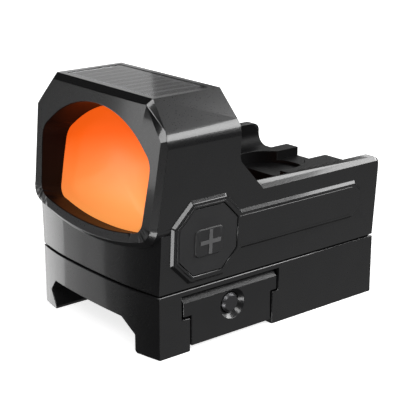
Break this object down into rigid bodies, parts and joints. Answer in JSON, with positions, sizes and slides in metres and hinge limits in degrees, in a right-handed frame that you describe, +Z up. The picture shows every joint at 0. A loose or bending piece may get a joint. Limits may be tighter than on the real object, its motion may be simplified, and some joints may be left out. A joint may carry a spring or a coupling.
{
  "type": "red dot finder",
  "caption": "Open reflex red dot finder: hooded coated lens, side buttons and solar panel on a low riser with a rail clamp.",
  "frame": {"origin": "centre of the footprint on the underside of the riser base", "axes": "-Y towards the target (objective side), +X the side with the plus button, +Z up"},
  "size_m": [0.0348, 0.0486, 0.0399],
  "materials": {
    "black_anodised": "fine satin black anodised",
    "black_steel": "black oxide steel",
    "bolt_steel": "dark phosphated steel",
    "spring_steel": "bright spring steel",
    "gasket_rubber": "matt black rubber",
    "lens_glass": "orange-red reflective coating",
    "retainer_plastic": "matt black",
    "solar_cell": "dark violet silicon",
    "solar_backing": "grey laminate",
    "solar_window": "clear gloss cover",
    "button_coat": "soft matt dark grey",
    "switch_body": "moulded black",
    "board_green": "solder mask",
    "cell_steel": "nickel plated",
    "contact_brass": "gold flashed",
    "foam_pad": "closed cell foam",
    "led_red": "clear red epoxy",
    "emitter_window": "clear window"
  },
  "bodies": {
    "root": {"housing": "black_anodised", "riser_base": "black_anodised", "base_gasket": "gasket_rubber", "housing_screws": "black_steel", "recoil_lug": "black_steel", "jaw_spring": "spring_steel", "front_lens": "lens_glass", "lens_retainer": "retainer_plastic", "solar_substrate": "solar_backing", "solar_cells": "solar_cell", "solar_cover": "solar_window", "plus_switch": "switch_body", "minus_switch": "switch_body", "circuit_board": "board_green", "battery": "cell_steel", "battery_contact": "contact_brass", "battery_pad": "foam_pad", "emitter_window": "emitter_window"},
    "jaw": {"clamp_jaw": "black_anodised"},
    "bolt": {"cross_bolt": "bolt_steel"},
    "plus_key": {"plus_button": "button_coat"},
    "minus_key": {"minus_button": "button_coat"},
    "windage_dial": {"windage_screw": "black_steel"},
    "elevation_dial": {"elevation_screw": "black_steel"},
    "carriage": {"emitter_carriage": "switch_body"},
    "emitter": {"emitter_holder": "switch_body", "emitter_led": "led_red"}
  },
  "joints": [
    {"name": "bolt_turn", "type": "hinge", "parent": "root", "child": "bolt", "pos_m": [0, -0.00783, 0.0057], "axis": [-1, 0, 0], "range_deg": [0, 830]},
    {"name": "jaw_slide", "type": "slide", "parent": "root", "child": "jaw", "axis": [1, 0, 0], "range_m": [0, 0.0016]},
    {"name": "plus_press", "type": "slide", "parent": "root", "child": "plus_key", "axis": [-1, 0, 0], "range_m": [0, 0.00035], "stiffness_N_per_m": 900, "springref_m": -0.0005},
    {"name": "minus_press", "type": "slide", "parent": "root", "child": "minus_key", "axis": [1, 0, 0], "range_m": [0, 0.00035], "stiffness_N_per_m": 900, "springref_m": -0.0005},
    {"name": "windage_turn", "type": "hinge", "parent": "root", "child": "windage_dial", "pos_m": [-0.0155, 0.01757, 0.0166], "axis": [1, 0, 0], "range_deg": [-365, 365]},
    {"name": "windage_shift", "type": "slide", "parent": "root", "child": "carriage", "axis": [1, 0, 0], "range_m": [-0.0004, 0.0004]},
    {"name": "elevation_turn", "type": "hinge", "parent": "root", "child": "elevation_dial", "pos_m": [0.0108, 0.01617, 0.0197], "axis": [0, 0, 1], "range_deg": [-365, 365]},
    {"name": "elevation_shift", "type": "slide", "parent": "carriage", "child": "emitter", "axis": [0, 0, 1], "range_m": [-0.0004, 0.0004]}
  ],
  "couplings": [
    {"joint": "bolt_turn", "follows": "jaw_slide", "rad_per_m": 8976},
    {"joint": "windage_turn", "follows": "windage_shift", "rad_per_m": 15708},
    {"joint": "elevation_turn", "follows": "elevation_shift", "rad_per_m": 15708}
  ]
}
